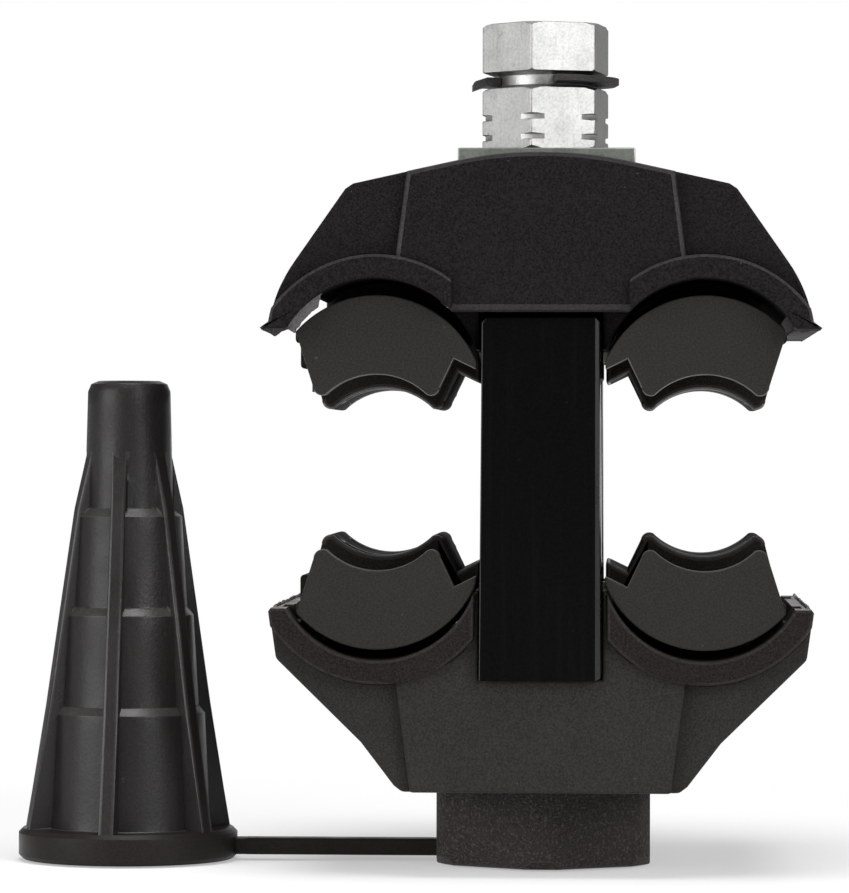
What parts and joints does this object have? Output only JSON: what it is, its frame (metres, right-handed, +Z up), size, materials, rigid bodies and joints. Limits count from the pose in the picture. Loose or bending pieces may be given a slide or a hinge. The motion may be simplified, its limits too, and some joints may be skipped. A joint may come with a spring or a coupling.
{
  "type": "insulation piercing connector",
  "caption": "Bolted clamp that joins two insulated overhead cables: halves with rubber boots and toothed blades, closed by a shear nut, with a stepped end cap on a strap.",
  "frame": {"origin": "centre of the flat underside of the bolt cover, on the bolt axis", "axes": "+Z up along the bolt, X across the two cables with the end cap at -X, Y along the cables with the pictured face at -Y"},
  "size_m": [0.0901, 0.0554, 0.0947],
  "materials": {
    "body_upper": "fine moulded grain",
    "body_lower": "fine moulded grain",
    "guide": "smooth",
    "zinc_steel": "zinc plated",
    "nut_alloy": "as extruded",
    "disc": "smooth",
    "boot": "satin",
    "blade": "tinned",
    "cover": "coarse leather grain",
    "cap": "matt"
  },
  "bodies": {
    "lower": {"lower_body": "body_lower", "centre_guide": "guide", "clamp_bolt": "zinc_steel", "boot_lower_left": "boot", "boot_lower_right": "boot", "blade_lower_front": "blade", "blade_lower_rear": "blade", "bolt_cover": "cover"},
    "upper": {"upper_body": "body_upper", "boot_upper_left": "boot", "boot_upper_right": "boot", "blade_upper_front": "blade", "blade_upper_rear": "blade", "square_washer": "zinc_steel"},
    "nut": {"shear_nut": "nut_alloy", "limit_disc": "disc"},
    "cap": {"end_cap": "cap", "cap_strap": "cap"}
  },
  "joints": [
    {"name": "upper_slide", "type": "slide", "parent": "lower", "child": "upper", "axis": [0, 0, -1], "range_m": [0, 0.0125]},
    {"name": "nut_turn", "type": "hinge", "parent": "upper", "child": "nut", "pos_m": [0, 0, 0.0804], "axis": [0, 0, -1], "range_deg": [0, 3600]},
    {"name": "cap_swing", "type": "hinge", "parent": "lower", "child": "cap", "pos_m": [-0.009, 0, 0.00145], "axis": [0, 0, 1], "range_deg": [-25, 25]}
  ],
  "couplings": [
    {"joint": "nut_turn", "follows": "upper_slide", "rad_per_m": 5026.5}
  ]
}
